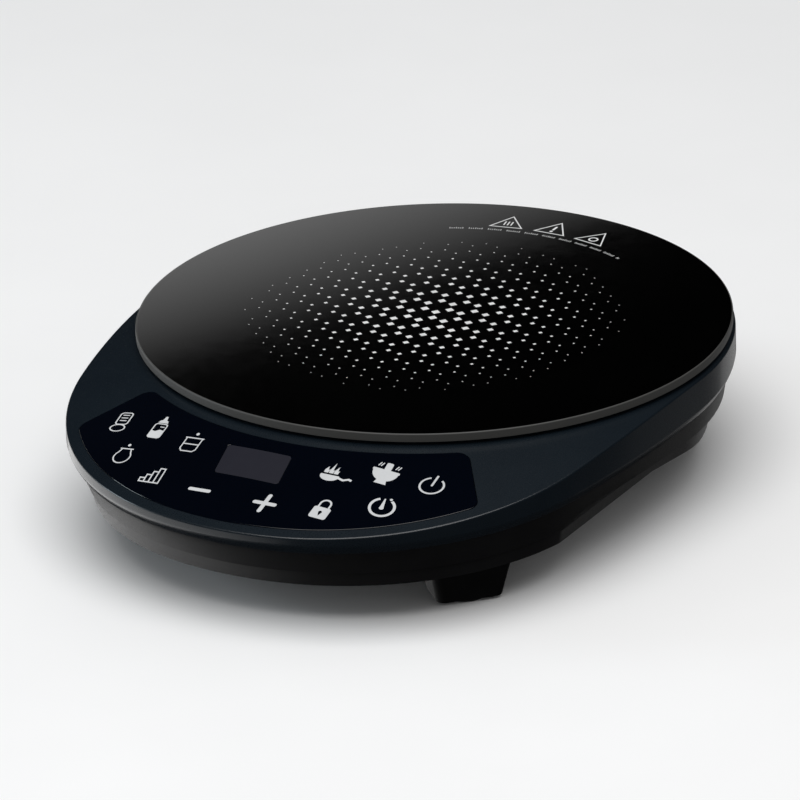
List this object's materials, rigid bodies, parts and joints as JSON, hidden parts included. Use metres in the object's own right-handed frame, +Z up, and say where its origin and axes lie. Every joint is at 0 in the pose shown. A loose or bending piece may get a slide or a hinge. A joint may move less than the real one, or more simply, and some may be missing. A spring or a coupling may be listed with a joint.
{
  "type": "induction cooktop",
  "caption": "Portable induction cooktop: round black glass plate on a low moulded housing whose front sweeps down into a touch control panel.",
  "frame": {"origin": "on the table under the middle of the housing's bounding box", "axes": "+Z up, -Y towards the user (control panel), +X to the user's right"},
  "size_m": [0.272, 0.3355, 0.071],
  "materials": {
    "ceramic_glass": "polished black glass-ceramic with a fine printed dot pattern, slightly rounded edge",
    "panel_gloss": "high-gloss near-black acrylic with pale grey key marks",
    "window_smoke": "smoked grey display window, gloss",
    "deck_satin": "satin-gloss near-black painted moulding",
    "body_textured": "fine spark-textured matte black moulding",
    "rubber_black": "soft matte black rubber",
    "silicone_grey": "cured grey silicone",
    "steel_zinc": "bright zinc-plated steel",
    "board_green": "green solder-masked circuit board",
    "plastic_white": "off-white nylon",
    "spring_steel": "tinned spring wire",
    "mica_silver": "silvery mica sheet",
    "plastic_black": "black glass-filled nylon",
    "copper_enamel": "enamelled copper litz wire",
    "ferrite_dark": "dark sintered ferrite",
    "ceramic_white": "white ceramic",
    "aluminium_raw": "extruded raw aluminium",
    "plastic_yellow": "yellow potted component case",
    "brass_tin": "tin-plated brass spring clips",
    "wire_red": "red silicone insulated wire",
    "wire_white": "white PVC insulated wire"
  },
  "bodies": {
    "housing": {"board_screws": "steel_zinc", "board_sockets": "plastic_white", "bottom_shell": "body_textured", "bridge_rectifier": "plastic_black", "buzzer": "plastic_black", "choke_core": "ferrite_dark", "choke_winding": "copper_enamel", "coil_former": "plastic_black", "coil_lead": "wire_red", "coil_screws": "steel_zinc", "coil_winding": "copper_enamel", "control_board": "board_green", "control_panel": "panel_gloss", "control_screws": "steel_zinc", "cord_gland": "rubber_black", "display_module": "plastic_white", "display_window": "window_smoke", "fan_frame": "plastic_black", "fan_lead": "wire_red", "fan_screws": "steel_zinc", "fan_stator": "copper_enamel", "ferrite_bars": "ferrite_dark", "film_capacitors": "plastic_white", "foot_front_left": "body_textured", "foot_front_right": "body_textured", "foot_nuts": "steel_zinc", "foot_pads": "rubber_black", "foot_rear_left": "body_textured", "foot_rear_right": "body_textured", "foot_screws": "steel_zinc", "fuse_clips": "brass_tin", "glass_plate": "ceramic_glass", "heatsink": "aluminium_raw", "line_capacitor": "plastic_yellow", "mains_fuse": "ceramic_white", "mains_terminal": "plastic_white", "mica_sheet": "mica_silver", "panel_lead": "wire_white", "plate_sealant": "silicone_grey", "power_board": "board_green", "power_transistor": "plastic_black", "sensor_cushion": "silicone_grey", "sensor_lead": "wire_white", "shell_screws": "steel_zinc", "supply_transformer": "plastic_yellow", "temperature_sensor": "ceramic_white", "top_shell": "deck_satin", "touch_springs": "spring_steel"},
    "fan": {"fan_rotor": "plastic_black"}
  },
  "joints": [
    {"name": "fan_spin", "type": "hinge", "parent": "housing", "child": "fan", "pos_m": [-0.046, 0.0678, 0.037], "axis": [0, 0, 1], "continuous": true}
  ]
}
